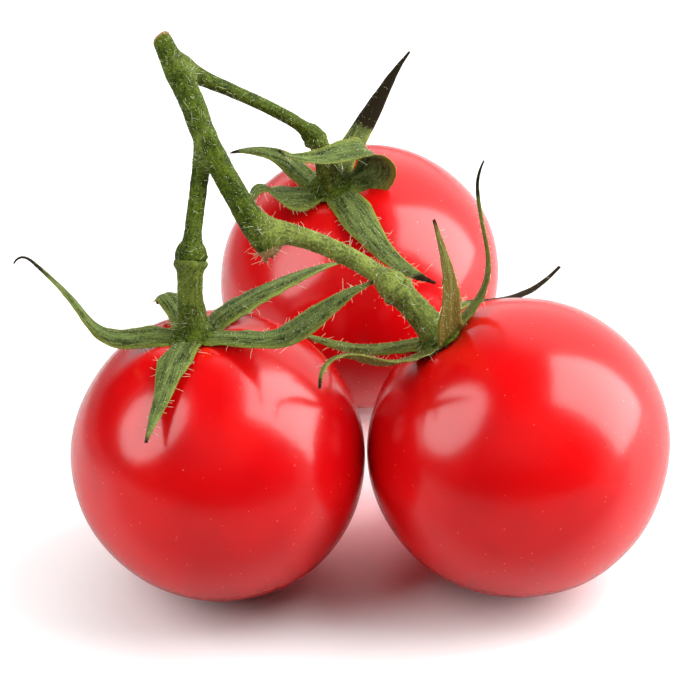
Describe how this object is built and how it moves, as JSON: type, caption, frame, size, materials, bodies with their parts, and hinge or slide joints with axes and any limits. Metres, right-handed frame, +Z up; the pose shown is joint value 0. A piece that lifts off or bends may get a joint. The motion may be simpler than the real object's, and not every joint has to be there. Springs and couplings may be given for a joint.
{
  "type": "vine tomato truss",
  "caption": "Short truss of round red cocktail tomatoes still joined by their cut green vine stalk, with knuckled pedicels and curled calyx sepals, resting on the fruits.",
  "frame": {"origin": "under the middle of the whole truss, on the surface it rests on", "axes": "+Z up; +X runs along the two front berries, from the one under the fork to the one at the end of the stalk; +Y runs back to the third berry"},
  "size_m": [0.0806, 0.0782, 0.0584],
  "materials": {
    "ripe_skin": "waxy glossy ripe tomato skin",
    "stem_green": "matt green stalk with fine hairs",
    "sepal_green": "matt green sepal, thin and hairy",
    "calyx_green": "matt pale green calyx base"
  },
  "bodies": {
    "root": {"left_fruit": "ripe_skin", "left_calyx_base": "calyx_green", "left_lower_pedicel": "stem_green", "left_upper_pedicel": "stem_green", "right_fruit": "ripe_skin", "right_calyx_base": "calyx_green", "right_lower_pedicel": "stem_green", "right_upper_pedicel": "stem_green", "back_fruit": "ripe_skin", "back_calyx_base": "calyx_green", "back_lower_pedicel": "stem_green", "back_upper_pedicel": "stem_green", "truss_stalk": "stem_green", "left_sepal_outer": "sepal_green", "left_sepal_front": "sepal_green", "left_sepal_inner_front": "sepal_green", "left_sepal_inner_back": "sepal_green", "left_sepal_rear": "sepal_green", "right_sepal_front": "sepal_green", "right_sepal_outer": "sepal_green", "right_sepal_rear": "sepal_green", "right_sepal_inner_front": "sepal_green", "right_sepal_inner_back": "sepal_green", "back_sepal_outer": "sepal_green", "back_sepal_curled": "sepal_green", "back_sepal_front": "sepal_green", "back_sepal_folded": "sepal_green", "back_sepal_rear": "sepal_green"}
  },
  "joints": []
}
